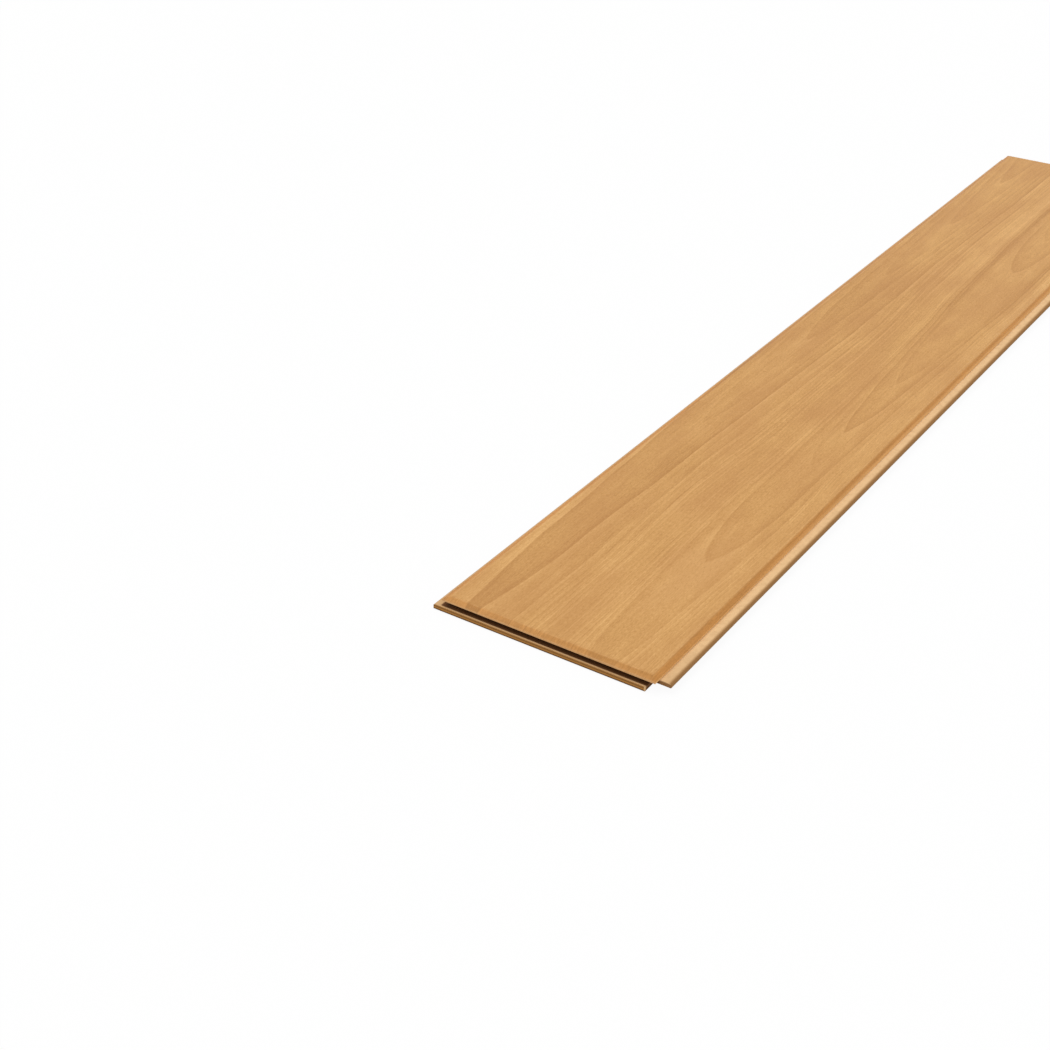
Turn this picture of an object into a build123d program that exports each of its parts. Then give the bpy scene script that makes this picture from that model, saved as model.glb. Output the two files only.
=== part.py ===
# Tongue and groove wall panel, one piece of stock. All sizes in millimetres.
# The panel lies on its back: X runs across it, Y along it and Z up to the face.
# Grooves are on the left long side and the near end, tongues on the right long side and the far end.
import os

from build123d import *

# Covering size of the face and the thickness of the board
cover_length = 1280.0
cover_width = 200.0
thickness = 12.0

# Bevel run round the face, and the upright edge left below it
bevel_width = 5.0
bevel_drop = 2.1
lip_edge = 1.4
face_rounding = 3.0

# Groove, lower lip and the deeper lip that takes the fixings
groove_height = 4.2
side_groove_depth = 10.8
end_groove_depth = 7.0
side_lip_reach = 6.5
end_lip_reach = 3.0
lip_lead_in = 0.5
groove_corner = 0.4
back_arris = 0.4

# Tongue, and the free play it has in the groove
play_above = 0.2
play_below = 0.1
play_at_nose = 0.5
play_at_lip = 0.5
nose_radius = 2.6
nose_underside = 0.4
crown_fall = 0.25
relief_width = 1.0
relief_depth = 0.25

# Levels that follow from the sizes above
groove_top = thickness - bevel_drop - lip_edge
groove_floor = groove_top - groove_height
lip_top = thickness - bevel_drop
tongue_top = groove_top - play_above
tongue_floor = groove_floor + play_below
side_tongue = side_groove_depth - play_at_nose
end_tongue = end_groove_depth - play_at_nose
relief_floor = tongue_top - relief_depth

# The middle of the outline, lips and tongues included, is set over the origin
left = -(cover_width + side_tongue - side_lip_reach) / 2
near = -(cover_length + end_tongue - end_lip_reach) / 2
outer_width = cover_width + side_lip_reach + side_tongue
outer_length = cover_length + end_lip_reach + end_tongue


def edge_to_edge(start, cover, lip_reach, groove_depth, tongue):
    """Draw the milled outline of the board from its grooved edge to its tongued edge."""
    stop = start + cover
    shoulder = stop - lip_reach - play_at_lip
    nose = stop + tongue
    crown = stop + 2 * relief_width
    nose_start = nose - nose_radius
    # Back of the board and the shoulder below the tongue
    Polyline(
        (start - lip_reach, back_arris),
        (start - lip_reach + back_arris, 0),
        (shoulder - back_arris, 0),
        (shoulder, back_arris),
        (shoulder, tongue_floor),
        (nose - nose_underside, tongue_floor),
        (nose, tongue_floor + nose_underside),
        (nose, tongue_top - crown_fall - nose_radius),
    )
    # Round nose, crowned top and the hollow that keeps the joint tight
    nose_top = tongue_top - crown_fall
    RadiusArc((nose, nose_top - nose_radius), (nose_start, nose_top), -nose_radius)
    ThreePointArc(
        (nose_start, nose_top),
        ((nose_start + crown) / 2, tongue_top - crown_fall / 4),
        (crown, tongue_top),
    )
    ThreePointArc(
        (crown, tongue_top),
        (stop + relief_width, relief_floor),
        (stop, tongue_top),
    )
    # Bevelled face, then the groove
    Polyline(
        (stop, tongue_top),
        (stop, lip_top),
        (stop - bevel_width, thickness),
        (start + bevel_width, thickness),
        (start, lip_top),
        (start, groove_top + lip_lead_in / 2),
        (start + lip_lead_in, groove_top),
        (start + groove_depth - groove_corner, groove_top),
        (start + groove_depth, groove_top - groove_corner),
        (start + groove_depth, groove_floor + groove_corner),
        (start + groove_depth - groove_corner, groove_floor),
        (start - lip_reach + lip_lead_in, groove_floor),
        (start - lip_reach, groove_floor - lip_lead_in),
        (start - lip_reach, back_arris),
    )


# The long edges are milled first, then both ends are cut across them
with BuildPart() as wall_panel:
    with BuildSketch(Plane.XZ.offset(-near + end_lip_reach)) as long_outline:
        with BuildLine():
            edge_to_edge(left, cover_width, side_lip_reach, side_groove_depth, side_tongue)
        make_face()
    extrude(amount=-outer_length)
    with BuildSketch(Plane.YZ.offset(left - side_lip_reach)) as end_outline:
        with BuildLine():
            edge_to_edge(near, cover_length, end_lip_reach, end_groove_depth, end_tongue)
        make_face()
    extrude(amount=outer_width, mode=Mode.INTERSECT)
    face_edges = wall_panel.faces().sort_by(Axis.Z)[-1].edges()
    fillet(face_edges, radius=face_rounding)

wall_panel.part.label = "wall_panel"
os.makedirs("parts", exist_ok=True)
export_step(wall_panel.part, "parts/wall_panel.step")
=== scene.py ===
"""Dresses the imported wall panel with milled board, decor foil and backing paper."""

import math

import bmesh
import bpy
from bpy.props import FloatProperty, FloatVectorProperty, PointerProperty
from bpy.types import Operator, Panel, PropertyGroup
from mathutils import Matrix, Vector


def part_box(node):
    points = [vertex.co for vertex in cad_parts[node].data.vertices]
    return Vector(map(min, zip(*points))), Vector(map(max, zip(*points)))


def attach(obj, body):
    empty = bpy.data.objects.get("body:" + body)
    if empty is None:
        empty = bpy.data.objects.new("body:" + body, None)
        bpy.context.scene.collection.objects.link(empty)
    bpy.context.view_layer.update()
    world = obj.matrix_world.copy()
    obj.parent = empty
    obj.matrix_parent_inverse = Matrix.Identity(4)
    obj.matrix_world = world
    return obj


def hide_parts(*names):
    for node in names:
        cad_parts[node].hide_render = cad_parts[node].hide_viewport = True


bl_info = {
    "name": "Tongue and Groove Wall Panel",
    "version": (1, 0, 0),
    "blender": (4, 5, 0),
    "location": "View3D > Sidebar > Wall Panel",
    "description": "Builds a four-sided tongue and groove wall panel in beech decor",
    "category": "Object",
}

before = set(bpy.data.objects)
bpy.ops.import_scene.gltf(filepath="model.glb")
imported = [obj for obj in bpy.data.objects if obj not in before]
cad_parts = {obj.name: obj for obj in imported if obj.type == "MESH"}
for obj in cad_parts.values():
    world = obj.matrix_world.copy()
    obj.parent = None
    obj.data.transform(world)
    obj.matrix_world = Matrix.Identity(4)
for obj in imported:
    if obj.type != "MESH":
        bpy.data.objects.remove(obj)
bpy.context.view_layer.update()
LOW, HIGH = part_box("wall_panel")

# Steps in the arcs of the tongue, of the face's rounding and of the bevel's lower edge
NOSE_STEPS = 14
CROWN_STEPS = 6
HOLLOW_STEPS = 8
ROUNDING_STEPS = 6
ROLL_STEPS = 4

# Edges that turn by more than this stay sharp
SHARP_ANGLE = math.radians(32)

# In metres: how far a bar runs past the cut through it, how far the foil is rolled over the
# bevel's lower edge, and how far the floor lies under the panel
OVERRUN = 0.004
EDGE_ROLL = 0.0004
FLOOR_GAP = 0.0003

# Slope, bow and flare of the arches in each nest, which set how they climb from the tip
FIRST_NEST = (1.6, 0.09, 0.00033)
SECOND_NEST = (0.5, 0.62, 0.0)

# Tips of the arches: millimetres from the grooved end, and how strongly the arch shows
FIRST_TIPS = (
    (-32, 0.4), (166, 0.7), (363, 0.3), (438, 0.8),
    (560, 0.45), (897, 0.6), (1010, 0.3), (1135, 0.6),
)
SECOND_TIPS = (
    (-1560, 0.4), (-1150, 0.2), (-750, 0.55), (-330, 0.3), (-26, 1.0), (215, 0.2),
    (383, 0.4), (605, 0.5), (812, 0.35), (1000, 0.45), (1170, 0.6),
)

# Tone over one arch, from outside it at 0 over its line at 0.5 to inside it at 1, how many
# millimetres across the panel that takes, and what keeps the tip from being drawn too thin
ARCH_STOPS = (
    (0.0, 0.5), (0.26, 0.53), (0.43, 0.61), (0.486, 0.7), (0.508, 0.1),
    (0.54, 0.22), (0.62, 0.35), (0.82, 0.43), (1.0, 0.5),
)
ARCH_WIDTH = 34
TIP_SPREAD = 5

# Broad places in the decor: middle across and along and reach across and along, in
# millimetres on the face, and strength, above 0 for pale places and below 0 for deep ones
BROAD_PLACES = (
    (152, 150, 23, 85, 0.3),
    (12, 160, 13, 220, 0.2),
    (50, 305, 18, 45, -0.2),
    (186, 290, 22, 80, -0.14),
    (106, 470, 25, 430, -0.15),
    (75, 730, 65, 110, -0.1),
    (30, 740, 24, 130, -0.2),
)


def length(name, description, millimetres):
    """A size property, written in millimetres and kept in metres."""
    return FloatProperty(
        name=name,
        description=description,
        default=millimetres / 1000,
        unit="LENGTH",
        subtype="DISTANCE",
        precision=5,
    )


def share(name, description, default):
    """A share property, between nothing and everything."""
    return FloatProperty(
        name=name, description=description, default=default, min=0.0, max=1.0, subtype="FACTOR"
    )


def amount(name, description, default):
    """A plain number property."""
    return FloatProperty(name=name, description=description, default=default)


def angle(name, description, degrees):
    """An angle property, written in degrees and kept in radians."""
    radians = math.radians(degrees)
    return FloatProperty(name=name, description=description, default=radians, subtype="ANGLE")


def colour(name, description, red, green, blue):
    """A colour property, written as a screen shows it, from 0 to 255, and kept linear."""
    return FloatVectorProperty(
        name=name,
        description=description,
        default=[((c / 255 + 0.055) / 1.055) ** 2.4 for c in (red, green, blue)],
        size=3,
        min=0.0,
        max=1.0,
        subtype="COLOR",
    )


class PanelSizes(PropertyGroup):
    """Sizes of the milled edges and of the skins pressed on the board."""

    bevel_width: length("Bevel width", "How far the bevel reaches in from the edge", 5.0)
    bevel_drop: length("Bevel drop", "How far the bevel falls from the face", 2.1)
    lip_edge: length("Lip edge", "Height of the upright edge below the bevel", 1.4)
    face_rounding: length("Face rounding", "Radius between the face and the bevel", 3.0)
    groove_height: length("Groove height", "Height of the groove", 4.2)
    side_groove: length("Side groove depth", "Depth of the groove in the long side", 10.8)
    end_groove: length("End groove depth", "Depth of the groove in the near end", 7.0)
    side_lip: length("Side lip reach", "How far the lower lip passes the face's long side", 6.5)
    end_lip: length("End lip reach", "How far the lower lip passes the face's near end", 3.0)
    lead_in: length("Lead in", "Chamfer at the mouth of the groove", 0.5)
    groove_corner: length("Groove corner", "Chamfer in the corners of the groove", 0.4)
    back_arris: length("Back arris", "Chamfer along the edges of the back", 0.4)
    play_above: length("Play above", "Room between tongue and groove above", 0.2)
    play_below: length("Play below", "Room between tongue and groove below", 0.1)
    play_at_nose: length("Play at nose", "Room between nose and groove bottom", 0.5)
    play_at_lip: length("Play at lip", "Room between the lower lip and the shoulder", 0.5)
    nose_radius: length("Nose radius", "Radius of the tongue's nose", 2.6)
    nose_underside: length("Nose underside", "Chamfer under the nose", 0.4)
    crown_fall: length("Crown fall", "How far the top of the tongue falls to the nose", 0.25)
    relief_width: length("Relief width", "Half the width of the hollow at the root", 1.0)
    relief_depth: length("Relief depth", "Depth of the hollow at the tongue's root", 0.25)
    foil: length("Foil thickness", "Thickness of the decor foil", 0.16)
    paper: length("Paper thickness", "Thickness of the backing paper", 0.12)


class DecorLook(PropertyGroup):
    """Colours and grain of the printed beech decor."""

    body: colour("Body", "Plain beech tone", 210, 159, 96)
    light: colour("Light wood", "Palest wood beside a growth line", 238, 189, 125)
    dark: colour("Dark wood", "Darkest wood inside a growth line", 179, 126, 69)
    dull: colour("Dull wood", "Deeper clouds in the wood", 190, 135, 80)
    fleck: colour("Fleck", "Pores and short flecks", 162, 109, 54)
    bevel: colour("Bevel", "Darker tone of the pressed bevel", 192, 134, 72)
    # Paler tone for edges: partly wear and partly a painted highlight
    edge: colour("Rubbed edge", "Paler tone along rubbed edges", 226, 181, 130)
    # Painted light for the upright edge over the tongue, which stands in shade
    upright: colour("Upright edge", "Edge between the bevel and the tongue", 247, 194, 128)
    arch_place: length("First arches", "Place of the first nest across the face", 150.0)
    arch_place_two: length("Second arches", "Place of the second nest across the face", 30.0)
    line_pitch: length("Line pitch", "Distance between the straight growth lines", 4.3)
    ring_contrast: share("Ring contrast", "How strongly the growth lines show", 0.75)
    fibre_contrast: share("Fibre contrast", "How strongly the fibres show", 1.0)
    roughness: share("Roughness", "Roughness of the foil", 0.46)


class BoardLook(PropertyGroup):
    """Colours of the raw fibreboard on the milled edges."""

    # This pale and the browner milled and lower lip colours are partly the board's own tones and
    # partly painted light from above
    planed_and_lit: colour("Planed", "Faces that look up, such as the top of the tongue", 235, 194, 143)
    # Painted light: brightens the hollow at the tongue's root, which lies in shade
    root: colour("Root", "Pale fibres left in the hollow at the tongue's root", 255, 226, 182)
    milled: colour("Milled", "Upright milled faces", 162, 117, 69)
    lip: colour("Lower lip", "Upright face of the lower lip", 173, 119, 54)
    # Dense skin near the back and the face, also used as painted shade on faces that look down
    skin: colour("Dense skin", "Denser board near the back and the face", 82, 48, 19)
    # Painted shade inside the grooves and painted shadow on the shoulder under the tongue
    painted_shade: colour("Burnt", "Inside of the groove, browned by the cutter", 106, 65, 32)
    fibre: colour("Fibre", "Loose pale fibres", 240, 208, 164)
    roughness: share("Roughness", "Roughness of the raw board", 0.8)


class BackingLook(PropertyGroup):
    """Colours of the backing paper."""

    paper: colour("Paper", "Plain backing paper", 205, 187, 158)
    shade: colour("Shade", "Darker fibres in the paper", 178, 156, 124)
    roughness: share("Roughness", "Roughness of the paper", 0.72)


class StageSettings(PropertyGroup):
    """Floor, light and camera."""

    floor_size: length("Floor size", "Side of the floor", 16000.0)
    floor: FloatVectorProperty(
        name="Floor",
        description="Colour of the floor",
        default=(0.95, 0.95, 0.945),
        size=3,
        subtype="COLOR",
    )
    floor_glow: share("Floor glow", "Share of white that the camera sees in the floor", 0.94)
    sky_strength: amount("Sky strength", "Strength of the even light from all round", 0.66)
    lamp_strength: amount("Lamp strength", "Strength of the soft lamp above", 1.2)
    lamp_softness: angle("Lamp softness", "Width of the lamp as seen from the floor", 40)
    lamp_tilt: angle("Lamp tilt", "How far the lamp leans to the left", 26)
    lamp_lean: angle("Lamp lean", "How far the lamp leans to the far end", 9)
    camera_place: FloatVectorProperty(
        name="Camera place",
        description="Where the camera stands",
        default=(0.5887, -1.5433, 0.7799),
        size=3,
        subtype="XYZ",
        unit="LENGTH",
    )
    camera_dip: angle("Camera dip", "How far the camera looks down", 31.67)
    camera_turn: angle("Camera turn", "How far it turns left from along the panel", 34.05)
    lens: FloatProperty(
        name="Lens", description="Focal length on a 36 mm sensor", default=57.9, unit="CAMERA"
    )


class Wire:
    """A node's output that can be used in arithmetic. Each operation adds one Math node."""

    def __init__(self, bench, socket):
        self.bench = bench
        self.socket = socket

    def maths(self, operation, *others):
        values = dict(enumerate((self, *others)))
        return self.bench.node("ShaderNodeMath", {"operation": operation}, values)

    def __add__(self, other):
        return self.maths("ADD", other)

    __radd__ = __add__

    def __sub__(self, other):
        return self.maths("SUBTRACT", other)

    def __rsub__(self, other):
        return self.bench.node("ShaderNodeMath", {"operation": "SUBTRACT"}, {0: other, 1: self})

    def __mul__(self, other):
        return self.maths("MULTIPLY", other)

    __rmul__ = __mul__

    def __truediv__(self, other):
        return self.maths("DIVIDE", other)

    def __pow__(self, other):
        return self.maths("POWER", other)

    def __abs__(self):
        return self.maths("ABSOLUTE")

    def least(self, other):
        return self.maths("MINIMUM", other)

    def most(self, other):
        return self.maths("MAXIMUM", other)

    def held(self):
        """Kept between 0 and 1."""
        return self.most(0.0).least(1.0)

    def fraction(self):
        return self.maths("FRACT")

    def whole(self):
        return self.maths("FLOOR")

    def rise(self, start, stop):
        """From 0 at start to 1 at stop, with soft ends."""
        settings = {"interpolation_type": "SMOOTHSTEP"}
        values = {0: self, 1: start, 2: stop, 3: 0.0, 4: 1.0}
        return self.bench.node("ShaderNodeMapRange", settings, values)

    def band(self, start, stop, soft):
        """1 between start and stop and 0 outside them, with edges as wide as soft."""
        return self.rise(start - soft, start) * (1 - self.rise(stop, stop + soft))


class Bench:
    """The nodes of one material or of the world."""

    def __init__(self, owner):
        owner.use_nodes = True
        self.owner = owner
        self.tree = owner.node_tree
        self.tree.nodes.clear()

    def node(self, kind, settings=None, values=None, output=0):
        """Add a node, set it, fill or link its sockets, and hand back one of its outputs."""
        made = self.tree.nodes.new(kind)
        for name, setting in (settings or {}).items():
            if name == "stops":
                self.set_stops(made.color_ramp.elements, setting)
            else:
                setattr(made, name, setting)
        for key, value in (values or {}).items():
            if isinstance(value, Wire):
                self.tree.links.new(value.socket, made.inputs[key])
            else:
                made.inputs[key].default_value = value
        return Wire(self, made.outputs[output]) if made.outputs else None

    def set_stops(self, elements, stops):
        """Give a ramp its stops, each a position and a grey."""
        while len(elements) < len(stops):
            elements.new(0.5)
        for element, (position, grey) in zip(elements, stops):
            element.position = position
            element.color = (grey, grey, grey, 1.0)

    def parts(self, vector):
        """The three parts of a vector."""
        outputs = self.node("ShaderNodeSeparateXYZ", values={0: vector}).socket.node.outputs
        return [Wire(self, outputs[i]) for i in range(3)]

    def place(self):
        """Across, along and up in millimetres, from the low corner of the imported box."""
        spot = self.parts(self.node("ShaderNodeTexCoord", output="Object"))
        return [(part - low) * 1000 for part, low in zip(spot, LOW)]

    def facing_up(self):
        """How far the surface looks up, from -1 to 1."""
        return self.parts(self.node("ShaderNodeTexCoord", output="Normal"))[2]

    def noise(self, x, y, z=0.0, detail=2.0, roughness=0.5):
        """Smooth noise from 0 to 1. Its cells are about one unit, so a place in millimetres is
        divided by the size that they shall have.
        """
        spot = self.node("ShaderNodeCombineXYZ", values={0: x, 1: y, 2: z})
        values = {"Vector": spot, "Scale": 1.0, "Detail": detail, "Roughness": roughness}
        return self.node("ShaderNodeTexNoise", {"noise_dimensions": "3D"}, values)

    def places(self, x, y, spots):
        """The sum of soft round places, each by its middle, its reach and its strength."""
        total = None
        for middle_x, middle_y, reach_x, reach_y, strength in spots:
            gap_x, gap_y = (x - middle_x) / reach_x, (y - middle_y) / reach_y
            spot = (1 - (gap_x * gap_x + gap_y * gap_y).rise(0.0, 1.6)) * strength
            total = spot if total is None else total + spot
        return total

    def chance(self, number):
        """A random value from 0 to 1 for each number."""
        return self.node("ShaderNodeTexWhiteNoise", {"noise_dimensions": "1D"}, {"W": number})

    def mix(self, factor, first, second):
        """Blend two colours, each a wire or three numbers."""
        first, second = (c if isinstance(c, Wire) else (*c, 1.0) for c in (first, second))
        values = {0: factor, 6: first, 7: second}
        return self.node("ShaderNodeMix", {"data_type": "RGBA"}, values, output=2)

    def surface(self, base, roughness, height, bump, specular):
        """Finish a material with its one shader. The bump is in metres."""
        relief = {"Height": height, "Distance": bump, "Strength": 1.0}
        values = {
            "Base Color": base,
            "Roughness": roughness,
            "Normal": self.node("ShaderNodeBump", values=relief),
            "Specular IOR Level": specular,
        }
        shader = self.node("ShaderNodeBsdfPrincipled", values=values)
        self.node("ShaderNodeOutputMaterial", values={"Surface": shader})
        return self.owner


def levels(sizes):
    """Heights of the panel that all the edges share."""
    thick = HIGH[2] - LOW[2]
    lip_top = thick - sizes.bevel_drop
    groove_top = lip_top - sizes.lip_edge
    groove_floor = groove_top - sizes.groove_height
    return {
        "thick": thick,
        "lip_top": lip_top,
        "groove_top": groove_top,
        "groove_floor": groove_floor,
        "tongue_top": groove_top - sizes.play_above,
        "tongue_floor": groove_floor + sizes.play_below,
    }


def tongue_reaches(sizes):
    """How far the side tongue and the end tongue stand past the face."""
    return sizes.side_groove - sizes.play_at_nose, sizes.end_groove - sizes.play_at_nose


def cover_edges(sizes):
    """Edges of the covering face: left, right, near and far."""
    side_tongue, end_tongue = tongue_reaches(sizes)
    left, near = LOW[0] + sizes.side_lip, LOW[1] + sizes.end_lip
    return left, HIGH[0] - side_tongue, near, HIGH[1] - end_tongue


def arc(centre, radius, start, stop, steps):
    """Points along an arc, its angles in degrees."""
    turns = [math.radians(start + (stop - start) * i / steps) for i in range(steps + 1)]
    return [(centre[0] + radius * math.cos(t), centre[1] + radius * math.sin(t)) for t in turns]


def through(first, middle, last, steps):
    """Points on the circle through three points, from the first to the last."""
    (ax, ay), (bx, by), (cx, cy) = first, middle, last
    d = 2 * (ax * (by - cy) + bx * (cy - ay) + cx * (ay - by))
    a, b, c = ax * ax + ay * ay, bx * bx + by * by, cx * cx + cy * cy
    centre = (
        (a * (by - cy) + b * (cy - ay) + c * (ay - by)) / d,
        (a * (cx - bx) + b * (ax - cx) + c * (bx - ax)) / d,
    )
    start = math.degrees(math.atan2(ay - centre[1], ax - centre[0]))
    stop = math.degrees(math.atan2(cy - centre[1], cx - centre[0]))
    stop += 360 * round((start - stop) / 360)
    return arc(centre, math.hypot(ax - centre[0], ay - centre[1]), start, stop, steps)


def milled_outline(sizes, start, stop, lip, groove, tongue):
    """Outline of the raw board from its grooved edge to its tongued edge.

    It leaves room for the foil above it and for the paper under it.
    """
    level = levels(sizes)
    face, lip_top = level["thick"], level["lip_top"]
    tongue_top, tongue_floor = level["tongue_top"], level["tongue_floor"]
    groove_top, groove_floor = level["groove_top"], level["groove_floor"]
    foil, base, arris = sizes.foil, sizes.paper, sizes.back_arris
    shoulder = stop - lip - sizes.play_at_lip
    nose = stop + tongue
    crown = stop + 2 * sizes.relief_width
    # Back, shoulder and the underside of the tongue
    points = [(start - lip, arris), (start - lip + arris, base)]
    points += [(shoulder - arris, base), (shoulder, arris)]
    points += [(shoulder, tongue_floor), (nose - sizes.nose_underside, tongue_floor)]
    points += [(nose, tongue_floor + sizes.nose_underside)]
    # Round nose, crowned top and the hollow at the root
    nose_top = tongue_top - sizes.crown_fall
    nose_start = (nose - sizes.nose_radius, nose_top)
    nose_centre = (nose_start[0], nose_top - sizes.nose_radius)
    points += arc(nose_centre, sizes.nose_radius, 0, 90, NOSE_STEPS)
    slope = ((nose_start[0] + crown) / 2, tongue_top - sizes.crown_fall / 4)
    points += through(nose_start, slope, (crown, tongue_top), CROWN_STEPS)[1:]
    hollow = (stop + sizes.relief_width, tongue_top - sizes.relief_depth)
    points += through((crown, tongue_top), hollow, (stop, tongue_top), HOLLOW_STEPS)[1:-1]
    # Under the foil
    points += [(stop, tongue_top), (stop - foil, tongue_top)]
    points += [(stop - foil, lip_top - foil), (stop - sizes.bevel_width - foil, face - foil)]
    points += [(start + sizes.bevel_width + foil, face - foil), (start + foil, lip_top - foil)]
    # Mouth, ceiling, bottom and floor of the groove
    lead_in, corner, bottom = sizes.lead_in, sizes.groove_corner, start + groove
    points += [(start + foil, groove_top + (lead_in - foil) / 2), (start + lead_in, groove_top)]
    points += [(bottom - corner, groove_top), (bottom, groove_top - corner)]
    points += [(bottom, groove_floor + corner), (bottom - corner, groove_floor)]
    points += [(start - lip + lead_in, groove_floor), (start - lip, groove_floor - lead_in)]
    return points


def prism(name, outline, low, high, along):
    """A closed bar with the outline as its section, running along X or along Y."""
    shape = bmesh.new()
    rows = []
    for end in (low, high):
        spots = [(end, p, z) if along == "X" else (p, end, z) for p, z in outline]
        rows.append([shape.verts.new(spot) for spot in spots])
    close_rings(shape, rows)
    return add_piece(name, shape)


def close_rings(shape, rings):
    """Join each ring of points to the next, and close the first and the last."""
    for lower, upper in zip(rings, rings[1:]):
        for i in range(len(lower)):
            j = (i + 1) % len(lower)
            shape.faces.new((lower[i], lower[j], upper[j], upper[i]))
    shape.faces.new(rings[0][::-1])
    shape.faces.new(rings[-1])
    bmesh.ops.recalc_face_normals(shape, faces=shape.faces)


def add_piece(name, shape):
    """Put a finished shape into the scene."""
    mesh = bpy.data.meshes.new(name)
    shape.to_mesh(mesh)
    shape.free()
    piece = bpy.data.objects.new(name, mesh)
    bpy.context.scene.collection.objects.link(piece)
    return piece


def smooth_runs(piece):
    """Shade arcs smooth, leave real corners sharp and keep flat faces flat."""
    piece.data.shade_smooth()
    piece.data.set_sharp_from_angle(angle=SHARP_ANGLE)
    flat = piece.modifiers.new("flat faces stay flat", "WEIGHTED_NORMAL")
    flat.keep_sharp = True
    flat.weight = 80


def dress(piece, material):
    """Give a piece its material and let it ride with the panel."""
    piece.data.materials.clear()
    piece.data.materials.append(material)
    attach(piece, "root")


def arches(wood, line, v, centre, nest, narrow, tips):
    """Nested arches on one centre line, and how far each point lies before one with tip at 0.

    Each arch has a pale rim outside it, and dark wood inside it that fades away from it.
    """
    slope, bow, flare = nest
    aside = abs(line - centre)
    square = aside * aside
    climb = (aside * slope + square * bow + square * square * flare) * narrow
    steep = aside * (2 * bow) + square * aside * (4 * flare) + (slope + TIP_SPREAD)
    reach = v - climb
    tone = None
    for tip, strength in tips:
        gap = (reach - tip) / (steep * ARCH_WIDTH) + 0.5
        ramp = wood.node("ShaderNodeValToRGB", {"stops": ARCH_STOPS}, {0: gap})
        ring = (ramp - 0.5) * (2 * strength)
        tone = ring if tone is None else tone + ring
    return tone, climb - v


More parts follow.
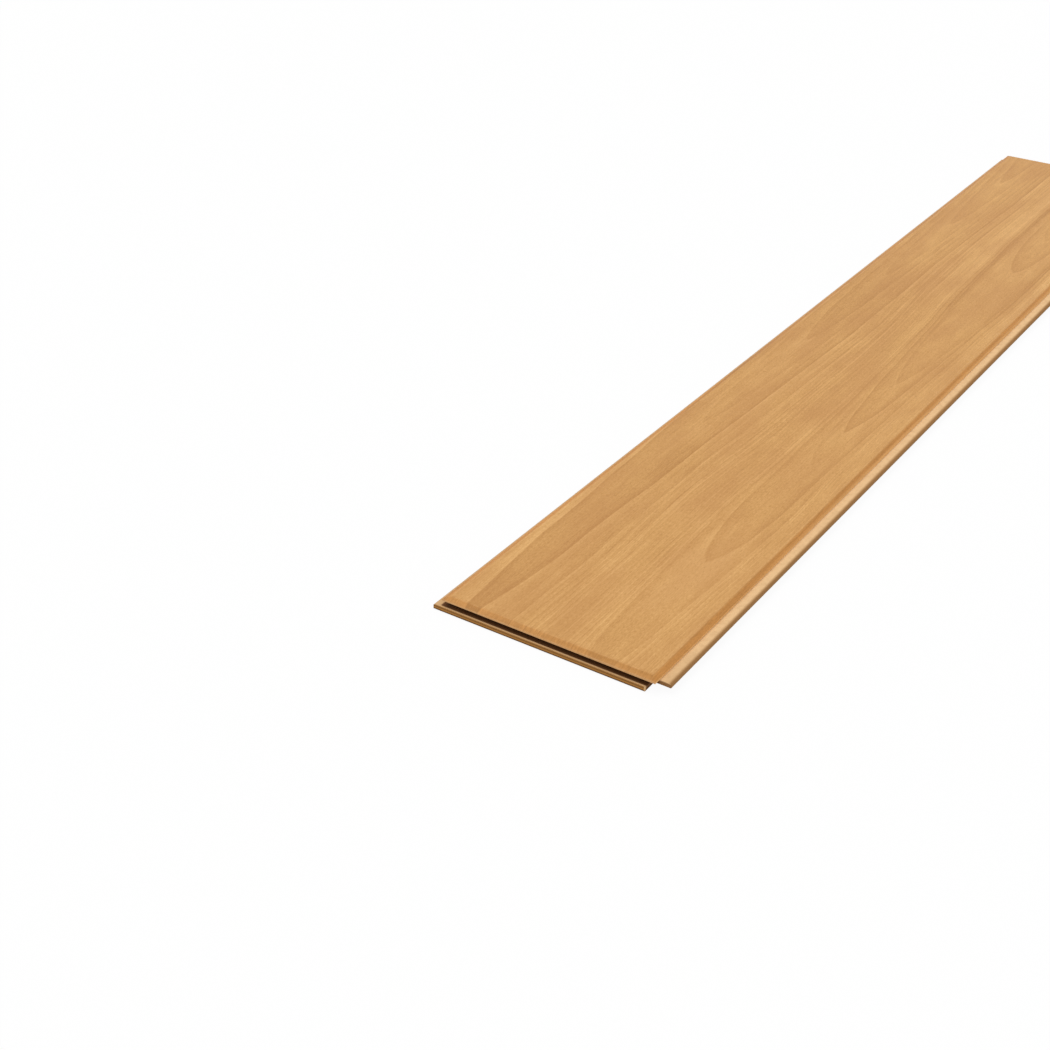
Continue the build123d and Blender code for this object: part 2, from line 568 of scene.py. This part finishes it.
def beech_decor(sizes, look):
    """Printed beech: arches, straight lines beside them, fibres and flecks, darker on bevels."""
    wood = Bench(bpy.data.materials.new("beech decor foil"))
    across, along, up = wood.place()
    left, right, near, far = (edge * 1000 for edge in cover_edges(sizes))
    u = across + (LOW[0] * 1000 - left)
    v = along + (LOW[1] * 1000 - near)

    # The grain wanders a little from side to side
    drift = (wood.noise(u / 90, v / 380, 3.1) - 0.5) * 16
    waver = (wood.noise(u / 14, v / 90, 7.7) - 0.5) * 3.0
    line = u + drift + waver

    # Two nests of arches with their tips towards the grooved end. In the first they are more
    # pointed near the middle of the panel. In the second the wood inside is deeper near the end
    pointed = v.band(440, 620, 200) * 0.6 + 1
    place_one, place_two = look.arch_place * 1000, look.arch_place_two * 1000
    tone_one, before = arches(wood, line, v, place_one, FIRST_NEST, pointed, FIRST_TIPS)
    tone_two, before_two = arches(wood, line, v, place_two, SECOND_NEST, 1.0, SECOND_TIPS)
    heart = (1 - before_two.rise(-10, 30)) * (1 - v.rise(240, 430))
    rings = tone_one + tone_two - heart * 0.2

    # Straight growth lines outside the first arches, each with its own strength
    pitch, flare = look.line_pitch * 1000, FIRST_NEST[-1]
    turn = ((before + 30).most(0.0) / flare) ** 0.25 / pitch
    turn = turn + (wood.noise(u / 25, v / 300, 1.3) - 0.5) * 1.6
    step = turn.fraction()
    strength = wood.chance(turn.whole())
    straight = (1 - step.rise(0.0, 0.55)) * step.rise(0.0, 0.06) - step.rise(0.72, 0.98) * 0.9
    straight = straight * (strength * strength + 0.12) * turn.rise(3.4, 5.0)
    straight = straight * (u.rise(58, 84) * 0.3 + 0.25)

    # Broad pale and deep places
    broad = wood.places(u, v, BROAD_PLACES)

    # Clouds, long streaks, fibres, and flecks darker or paler than the wood round them
    cloud = wood.noise(u / 30, v / 150, 5.0, 3.0) - 0.5
    depth = wood.noise(u / 34, v / 110, 31.0, 2.0).rise(0.3, 0.72)
    blotch = wood.noise(u / 11, v / 34, 2.0, 3.0, 0.55) - 0.5
    streak = wood.noise(line / 2.6, v / 95, 8.0, 3.0, 0.6) - 0.5
    fibre = wood.noise(line / 1.15, v / 15, 1.0, 3.0, 0.65) - 0.5
    dash = wood.noise(line / 0.8, v / 3.4, 6.0, 2.0, 0.6) - 0.5
    fleck = wood.noise(line / 0.75, v / 5, 9.0, 1.0, 0.5).rise(0.58, 0.74)

    tone = (rings + straight) * look.ring_contrast
    tone = tone + broad + cloud * 0.35 + blotch * 0.6
    tone = tone + (streak * 0.9 + fibre * 0.9 + dash * 1.7) * look.fibre_contrast
    base = wood.mix(tone.held(), look.body, look.light)
    base = wood.mix((0 - tone).held(), base, look.dark)
    base = wood.mix(depth * 0.38, base, look.dull)
    base = wood.mix(fleck * 0.3, base, look.fleck)

    # The bevels are darker, softly so at the ends
    wide = right - left
    to_side = u.least(wide - u)
    to_end = v.least((far - near) - v)
    inset = to_side.least(to_end)
    bevel = sizes.bevel_width * 1000
    on_side_bevel = 1 - to_side.rise(bevel - 1.9, bevel + 0.9)
    on_end_bevel = (1 - to_end.rise(bevel - 2.0, bevel + 2.8)) * 0.75
    on_bevel = on_side_bevel.most(on_end_bevel)
    darker, paler = (tuple(c * times for c in look.bevel) for times in (0.8, 1.24))
    base = wood.mix(on_bevel, base, wood.mix((tone * 0.9 + 0.5).held(), darker, paler))

    # Edges are a little paler, partly from wear and partly as a painted highlight along the
    # face's edge and the upper lip's edge. The upright edge over the long tongue is painted
    # palest, and away from the near end the foot of the bevel above it turns paler too: painted
    # light where they stand in shade
    patchy = wood.noise(u / 9, v / 9, up / 3, 3.0).rise(0.35, 0.7)
    pale_edge = inset.band(bevel + 0.3, bevel + 0.6, 0.6) * (patchy * 0.2 + 0.03)
    lip = (1 - u.least(to_end).rise(0.0, 0.6)) * (patchy * 0.3 + 0.4)
    base = wood.mix(pale_edge.most(lip), base, look.edge)
    # Painted light on the upright edge and the bevel's foot over the tongue, which stand in
    # shade
    upright = (1 - (wide - u).rise(0.02, 0.12)) * 0.9
    glow = (1 - (wide - u).rise(0.0, 2.4)) * v.rise(60, 400) * 0.36
    base = wood.mix(upright.most(glow), base, look.upright)

    height = fibre * 0.5 + dash * 0.3 - fleck * 0.6 + streak * 0.3
    roughness = streak * 0.08 + fleck * 0.1 + on_bevel * 0.03 + cloud * 0.05 + look.roughness
    return wood.surface(base, roughness, height, bump=0.00002, specular=0.1)


def raw_fibreboard(sizes, look):
    """Milled fibreboard: paler where it looks up and browner where upright, partly by painted
    light, and dark with painted shade in the groove.
    """
    board = Bench(bpy.data.materials.new("raw fibreboard"))
    across, along, up = board.place()
    level = {name: height * 1000 for name, height in levels(sizes).items()}
    wide, long = ((HIGH[i] - LOW[i]) * 1000 for i in (0, 1))
    groove_floor, groove_top = level["groove_floor"], level["groove_top"]
    tongue = tongue_reaches(sizes)[0] * 1000
    shoulder = wide - tongue - (sizes.side_lip + sizes.play_at_lip) * 1000

    grain = board.noise(across / 0.9, along / 0.9, up / 0.45, 4.0, 0.65)
    clump = board.noise(across / 5.5, along / 5.5, up / 1.6, 3.0, 0.55)
    hair = board.noise(across / 0.35, along / 2.4, up / 0.3, 2.0, 0.6).rise(0.62, 0.78)

    # Faces that look up are painted pale and upright faces browner, partly the planed and milled
    # board and partly painted light from above. Painted shade holds the pale back on the lower
    # lip under the groove, towards the noses and at the tongue's root; it is also held back at
    # the outer edges and near the near end, and the hollow at the tongue's root gets painted
    # light
    facing = board.facing_up()
    planed_and_lit = facing.rise(0.65, 0.97)
    nose_gap = (wide - across).least(long - along) - along.rise(150, 500) * 0.5
    ledge = 1 - up.rise(groove_floor + 0.1, groove_floor + 0.5)
    root_gap = (across - (wide - tongue)).rise(0.0, 2.2)
    # Painted shade: less pale towards the noses, on the lower lip under the groove and at the
    # tongue's root
    planed_and_lit = planed_and_lit * nose_gap.rise(0.7, 4.1) * (1 - ledge * 0.3)
    planed_and_lit = planed_and_lit * (root_gap * 0.1 + ledge * 0.1 + 0.9).least(1.0)
    planed_and_lit = planed_and_lit * across.least(along).rise(0.3, 1.0)
    planed_and_lit = planed_and_lit * (1 - (1 - along.rise(10, 80)) * root_gap * 0.2)
    below_floor = 1 - up.rise(groove_floor - 0.6, groove_floor + 0.4)
    base = board.mix(below_floor, look.milled, look.lip)
    base = board.mix(planed_and_lit, base, look.planed_and_lit)
    # Painted light in the hollow at the tongue's root, which lies in shade
    root = planed_and_lit * (1 - root_gap) * (1 - ledge) * (along.rise(60, 400) * 0.5 + 0.15)
    base = board.mix(root, base, look.root)

    # The board is denser near the back and the face and darker in a band under the groove, and
    # faces that look down get painted shade
    skin = (1 - up.rise(1.15, 1.75)).most(up.rise(level["thick"] - 3.2, level["thick"] - 1.6))
    skin = skin.most(up.band(groove_floor - 1.25, groove_floor - 0.5, 0.35) * 0.65)
    skin = skin.most(1 - facing.rise(-0.75, -0.4))
    base = board.mix(skin * (1 - planed_and_lit) * 0.9, base, look.skin)

    # Painted shadow on the shoulder below the tongue, and the end of the lower lip beside it is
    # painted paler
    below = 1 - up.rise(groove_floor - 0.2, groove_floor + 0.05)
    at_shoulder = across.band(shoulder - 0.15, shoulder + 0.2, 0.1) * below
    base = board.mix(at_shoulder * along.rise(1.4, 2.6) * 0.85, base, look.painted_shade)
    pale_edge = across.rise(shoulder - 1.4, shoulder - 0.3) * below
    pale_edge = pale_edge * (1 - along.rise(1.2, 2.2)) * up.rise(0.3, 0.9)
    base = board.mix(pale_edge * 0.8, base, look.planed_and_lit)

    # Painted shade inside both grooves, from just outside the mouth, but less of it on the
    # tongue's cut end, which has a painted highlight along its upper rim
    into_side = across - sizes.side_lip * 1000
    into_end = along - sizes.end_lip * 1000
    at_end = into_end.band(-0.5, sizes.end_groove * 1000, 0.7) * into_side.rise(-0.6, 0.6)
    at_side = into_side.band(0.0, sizes.side_groove * 1000, 1.2) * into_end.rise(-0.9, 0.0)
    inside = at_end.most(at_side) * up.band(groove_floor - 0.1, groove_top + 0.05, 0.15)
    under_face = (wide - across).rise(tongue, tongue + 1)
    groove_shade = under_face * 0.65 + 0.35 - (1 - under_face) * planed_and_lit * 0.35
    base = board.mix(inside * groove_shade, base, look.painted_shade)
    # Painted highlight along the upper rim of the tongue's cut end
    rim = at_end * (1 - under_face) * up.rise(groove_top - 1.5, groove_top - 0.5) * 0.75
    base = board.mix(rim, base, look.planed_and_lit)

    # Cutter marks across the feed, fibre clumps and loose hairs
    marks = ((across + along) / 1.15 + (clump - 0.5) * 0.6).fraction()
    marks = marks.rise(0.0, 0.5) * (1 - marks.rise(0.5, 1.0))
    calm = 1 - inside * 0.7
    base = board.mix((clump - 0.42).most(0.0) * calm * 0.7, base, look.milled)
    base = board.mix((grain - 0.5).most(0.0) * calm * 0.45, base, look.fibre)
    base = board.mix(hair * calm * 0.18, base, look.fibre)
    height = grain * 0.7 + hair * 0.25 + marks * 0.12
    roughness = grain * 0.12 + look.roughness
    return board.surface(base, roughness, height, bump=0.00006, specular=0.2)


def backing_paper(look):
    """Plain backing paper with a soft fibre mottle and faint roller lines."""
    paper = Bench(bpy.data.materials.new("backing paper"))
    across, along, up = paper.place()
    mottle = paper.noise(across / 11, along / 17, up, 4.0, 0.6)
    fibre = paper.noise(across / 0.8, along / 1.3, up, 3.0, 0.6)
    roller = paper.noise(across / 3.5, along / 400, 2.0, 2.0)
    base = paper.mix(mottle.rise(0.3, 0.75) * 0.45, look.paper, look.shade)
    base = paper.mix((fibre - 0.45).most(0.0) * 0.8, base, look.shade)
    base = paper.mix(roller.rise(0.5, 0.8) * 0.15, base, look.shade)
    height = fibre * 0.6 + mottle * 0.2
    roughness = fibre * 0.1 + look.roughness
    return paper.surface(base, roughness, height, bump=0.00003, specular=0.25)


def pale_floor(stage):
    """Pale matt floor that the camera sees as nearly white, with the panel's soft shadow."""
    floor = Bench(bpy.data.materials.new("pale floor"))
    matt = floor.node("ShaderNodeBsdfDiffuse", values={"Color": (*stage.floor, 1.0)})
    plain = {"Color": (1.0, 1.0, 1.0, 1.0), "Strength": 1.0}
    white = floor.node("ShaderNodeEmission", values=plain)
    glow = seen_directly(floor) * stage.floor_glow
    both = floor.node("ShaderNodeMixShader", values={0: glow, 1: matt, 2: white})
    floor.node("ShaderNodeOutputMaterial", values={"Surface": both})
    return floor.owner


def even_light(stage):
    """Even light from all round, which the camera sees as white."""
    sky = Bench(bpy.data.worlds.new("even light"))
    strength = seen_directly(sky) * (1 - stage.sky_strength) + stage.sky_strength
    white = {"Color": (1.0, 1.0, 1.0, 1.0), "Strength": strength}
    glow = sky.node("ShaderNodeBackground", values=white)
    sky.node("ShaderNodeOutputWorld", values={"Surface": glow})
    return sky.owner


def seen_directly(bench):
    """1 for what the camera sees straight, in a gloss or through glass, and 0 for the rest."""
    rays = bench.node("ShaderNodeLightPath").socket.node.outputs
    names = ("Is Camera Ray", "Is Glossy Ray", "Is Transmission Ray")
    camera, gloss, glass = (Wire(bench, rays[name]) for name in names)
    return camera.most(gloss).most(glass)


class WALLPANEL_OT_mill_board(Operator):
    """Mill the fibreboard on all four edges"""

    bl_idname = "wallpanel.mill_board"
    bl_label = "Mill Board"

    def execute(self, context):
        sizes = context.scene.wall_panel_sizes
        left, right, near, far = cover_edges(sizes)
        side_tongue, end_tongue = tongue_reaches(sizes)
        side_lip, end_lip = sizes.side_lip, sizes.end_lip
        side = milled_outline(sizes, left, right, side_lip, sizes.side_groove, side_tongue)
        end = milled_outline(sizes, near, far, end_lip, sizes.end_groove, end_tongue)
        board = prism("fibreboard", side, LOW[1] - OVERRUN, HIGH[1] + OVERRUN, "Y")
        cutter = prism("end_cutter", end, LOW[0] - OVERRUN, HIGH[0] + OVERRUN, "X")
        uncut_faces = len(board.data.polygons)
        cut = board.modifiers.new("cut both ends", "BOOLEAN")
        cut.operation = "INTERSECT"
        cut.solver = "EXACT"
        cut.object = cutter
        context.view_layer.update()
        cut_board = board.evaluated_get(context.evaluated_depsgraph_get())
        done = bpy.data.meshes.new_from_object(cut_board)
        board.modifiers.clear()
        board.data = done
        bpy.data.objects.remove(cutter)
        if len(done.polygons) <= uncut_faces:
            raise RuntimeError("the ends of the board were not cut")
        smooth_runs(board)
        dress(board, raw_fibreboard(sizes, context.scene.wall_panel_board))
        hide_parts("wall_panel")
        return {"FINISHED"}


class WALLPANEL_OT_press_foil(Operator):
    """Press the decor foil over the face, the bevels and the upright edges"""

    bl_idname = "wallpanel.press_foil"
    bl_label = "Press Foil"

    def execute(self, context):
        sizes = context.scene.wall_panel_sizes
        level = levels(sizes)
        cover = cover_edges(sizes)
        thick, lip_top, foil = level["thick"], level["lip_top"], sizes.foil
        width, rounding = sizes.bevel_width, sizes.face_rounding
        mouth = level["groove_top"] + sizes.lead_in / 2
        root = level["tongue_top"]
        slope = math.degrees(math.atan2(sizes.bevel_drop, width))
        reach = rounding * math.tan(math.radians(slope / 2))
        centre = (width + reach, thick - rounding)
        bend = arc(centre, rounding, 90 + slope, 90, ROUNDING_STEPS)
        centre = (EDGE_ROLL, lip_top - EDGE_ROLL * 0.8)
        lip = arc(centre, EDGE_ROLL, 180, 90 + slope, ROLL_STEPS)
        under = [(width + foil, thick - foil), (foil, lip_top - foil)]
        shape = bmesh.new()
        rings = [self.ring(shape, cover, inset, z, z) for inset, z in under]
        rings += [self.ring(shape, cover, inset, mouth, root) for inset in (foil, 0.0)]
        rings += [self.ring(shape, cover, inset, z, z) for inset, z in lip + bend]
        close_rings(shape, rings)
        piece = add_piece("decor_foil", shape)
        smooth_runs(piece)
        dress(piece, beech_decor(sizes, context.scene.wall_panel_decor))
        return {"FINISHED"}

    def ring(self, shape, cover, inset, grooved, tongued):
        """Four corners at one height over the grooved edges and another over the tongued."""
        left, right, near, far = cover
        x0, x1, y0, y1 = left + inset, right - inset, near + inset, far - inset
        corners = ((x0, y0, grooved), (x1, y0, tongued), (x1, y1, tongued), (x0, y1, grooved))
        return [shape.verts.new(corner) for corner in corners]


class WALLPANEL_OT_glue_backing(Operator):
    """Glue the backing paper to the underside"""

    bl_idname = "wallpanel.glue_backing"
    bl_label = "Glue Backing"

    def execute(self, context):
        sizes = context.scene.wall_panel_sizes
        left, right, near, far = cover_edges(sizes)
        arris = sizes.back_arris
        x0, y0 = left - sizes.side_lip + arris, near - sizes.end_lip + arris
        x1 = right - sizes.side_lip - sizes.play_at_lip - arris
        y1 = far - sizes.end_lip - sizes.play_at_lip - arris
        corners = ((x0, y0), (x1, y0), (x1, y1), (x0, y1))
        shape = bmesh.new()
        heights = (LOW[2], LOW[2] + sizes.paper)
        close_rings(shape, [[shape.verts.new((x, y, z)) for x, y in corners] for z in heights])
        piece = add_piece("backing_paper", shape)
        dress(piece, backing_paper(context.scene.wall_panel_backing))
        return {"FINISHED"}


class WALLPANEL_OT_set_stage(Operator):
    """Lay the floor, set the light and place the camera"""

    bl_idname = "wallpanel.set_stage"
    bl_label = "Set Stage"

    def execute(self, context):
        scene = context.scene
        stage = scene.wall_panel_stage
        half = stage.floor_size / 2
        under = LOW[2] - FLOOR_GAP
        shape = bmesh.new()
        corners = ((-half, -half), (half, -half), (half, half), (-half, half))
        shape.faces.new([shape.verts.new((x, y, under)) for x, y in corners])
        floor = add_piece("floor", shape)
        floor.data.materials.append(pale_floor(stage))
        scene.world = even_light(stage)

        lamp = bpy.data.lights.new("soft lamp", "SUN")
        lamp.energy = stage.lamp_strength
        lamp.angle = stage.lamp_softness
        lamp_stand = bpy.data.objects.new("soft_lamp", lamp)
        lamp_stand.location = (-1.0, 0.6, 3.0)
        lamp_stand.rotation_euler = (-stage.lamp_lean, -stage.lamp_tilt, 0.0)
        scene.collection.objects.link(lamp_stand)

        camera = bpy.data.cameras.new("camera")
        camera.lens = stage.lens
        camera.sensor_width = 36.0
        camera.clip_start = 0.01
        tripod = bpy.data.objects.new("camera", camera)
        tripod.location = stage.camera_place
        tripod.rotation_euler = (math.radians(90) - stage.camera_dip, 0.0, stage.camera_turn)
        scene.collection.objects.link(tripod)
        scene.camera = tripod
        scene.view_settings.view_transform = "Standard"
        return {"FINISHED"}


class WALLPANEL_PT_sidebar(Panel):
    """Lists the sizes, the finishes and the steps"""

    bl_idname = "WALLPANEL_PT_sidebar"
    bl_label = "Wall Panel"
    bl_space_type = "VIEW_3D"
    bl_region_type = "UI"
    bl_category = "Wall Panel"

    def draw(self, context):
        for owners, step in STEPS:
            box = self.layout.box()
            for owner in owners:
                settings = getattr(context.scene, owner)
                for name in settings.__annotations__:
                    box.prop(settings, name)
            box.operator(step)


STEPS = (
    (("wall_panel_sizes", "wall_panel_board"), "wallpanel.mill_board"),
    (("wall_panel_decor",), "wallpanel.press_foil"),
    (("wall_panel_backing",), "wallpanel.glue_backing"),
    (("wall_panel_stage",), "wallpanel.set_stage"),
)

GROUPS = {
    "wall_panel_sizes": PanelSizes,
    "wall_panel_decor": DecorLook,
    "wall_panel_board": BoardLook,
    "wall_panel_backing": BackingLook,
    "wall_panel_stage": StageSettings,
}

CLASSES = (
    *GROUPS.values(),
    WALLPANEL_OT_mill_board,
    WALLPANEL_OT_press_foil,
    WALLPANEL_OT_glue_backing,
    WALLPANEL_OT_set_stage,
    WALLPANEL_PT_sidebar,
)


def register():
    for item in CLASSES:
        bpy.utils.register_class(item)
    for name, group in GROUPS.items():
        setattr(bpy.types.Scene, name, PointerProperty(type=group))


def unregister():
    for name in GROUPS:
        delattr(bpy.types.Scene, name)
    for item in reversed(CLASSES):
        bpy.utils.unregister_class(item)


def main():
    register()
    bpy.ops.wallpanel.mill_board()
    bpy.ops.wallpanel.press_foil()
    bpy.ops.wallpanel.glue_backing()
    bpy.ops.wallpanel.set_stage()


if __name__ == "__main__":
    main()
